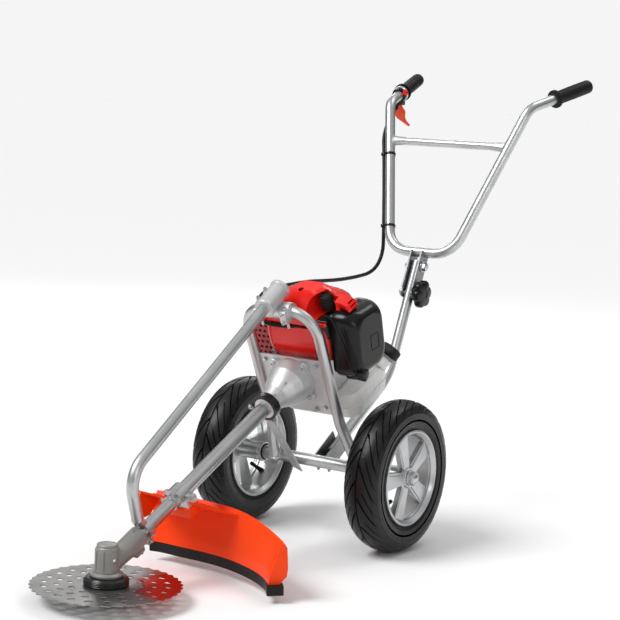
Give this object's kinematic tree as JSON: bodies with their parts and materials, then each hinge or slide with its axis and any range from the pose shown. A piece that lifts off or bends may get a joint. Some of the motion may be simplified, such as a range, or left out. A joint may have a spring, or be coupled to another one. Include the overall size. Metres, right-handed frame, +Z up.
{
  "type": "wheeled brush cutter",
  "caption": "Two-wheeled walk-behind brush cutter: a small engine on a leaning hoop frame drives a toothed disc through a slanted tube, with a guard and a folding handle.",
  "frame": {"origin": "on the floor under the middle of the outline", "axes": "+X to the machine's left, +Y to its rear and the handle, +Z up"},
  "size_m": [0.4696, 1.4695, 0.9427],
  "materials": {
    "silver_tube": "silver paint, glossy",
    "bright_metal": "drawn, bright",
    "cast_clamp": "cast, satin",
    "cast_grey": "cast, grey paint",
    "steel": "plain steel",
    "silencer_steel": "plain steel",
    "red_metal": "red paint",
    "red_plastic": "gloss red",
    "black_plastic": "satin black",
    "black_paint": "black paint",
    "black_rubber": "matt black",
    "tank_plastic": "milky, half clear",
    "guard_orange": "satin orange",
    "lever_orange": "gloss orange",
    "tyre_rubber": "black tyre rubber"
  },
  "bodies": {
    "chassis": {"axle": "silver_tube", "hoop_frame": "silver_tube", "engine_plate": "silver_tube", "axle_strap": "silver_tube", "post_bracket": "silver_tube", "rear_post": "silver_tube", "brace_tube": "silver_tube", "brace_clamp": "cast_clamp", "front_collar": "cast_clamp", "drive_tube": "bright_metal", "clutch_housing": "cast_clamp", "clutch_collar": "black_plastic", "gear_head": "cast_grey", "guard_clamp": "black_plastic", "blade_guard": "guard_orange", "guard_flap": "black_rubber", "crankcase": "cast_clamp", "cylinder": "cast_clamp", "cylinder_cover": "red_plastic", "spark_plug_boot": "black_rubber", "lower_shroud": "red_plastic", "muffler": "silencer_steel", "muffler_guard": "red_metal", "carburettor": "cast_clamp", "air_filter_base": "black_plastic", "air_filter_cover": "black_plastic", "recoil_starter": "black_plastic", "starter_handle": "black_plastic", "fuel_tank": "tank_plastic", "fuel_cap": "black_plastic", "clamp_knob": "black_plastic", "throttle_cable": "black_rubber"},
    "wheel_left": {"tyre_left": "tyre_rubber", "rim_left": "bright_metal"},
    "wheel_right": {"tyre_right": "tyre_rubber", "rim_right": "bright_metal"},
    "blade_rotor": {"blade": "steel", "blade_flange": "black_paint", "blade_cup": "black_paint", "spindle": "steel"},
    "handle": {"handle_channel": "silver_tube", "pivot_bolt": "steel", "handlebar": "silver_tube", "crossbar": "silver_tube", "grip_left": "black_rubber", "grip_right": "black_rubber", "throttle_body": "black_plastic", "throttle_trigger": "lever_orange", "cable_ties": "black_plastic"}
  },
  "joints": [
    {"name": "wheel_left_roll", "type": "hinge", "parent": "chassis", "child": "wheel_left", "pos_m": [0, 0.044, 0.15], "axis": [1, 0, 0], "continuous": true},
    {"name": "wheel_right_roll", "type": "hinge", "parent": "chassis", "child": "wheel_right", "pos_m": [0, 0.044, 0.15], "axis": [1, 0, 0], "continuous": true},
    {"name": "blade_spin", "type": "hinge", "parent": "chassis", "child": "blade_rotor", "pos_m": [0, -0.606, 0.03], "axis": [0, 0, 1], "continuous": true},
    {"name": "handle_fold", "type": "hinge", "parent": "chassis", "child": "handle", "pos_m": [0, 0.3886, 0.526], "axis": [1, 0, 0], "range_deg": [0, 110], "deforming": ["throttle_cable"]}
  ]
}
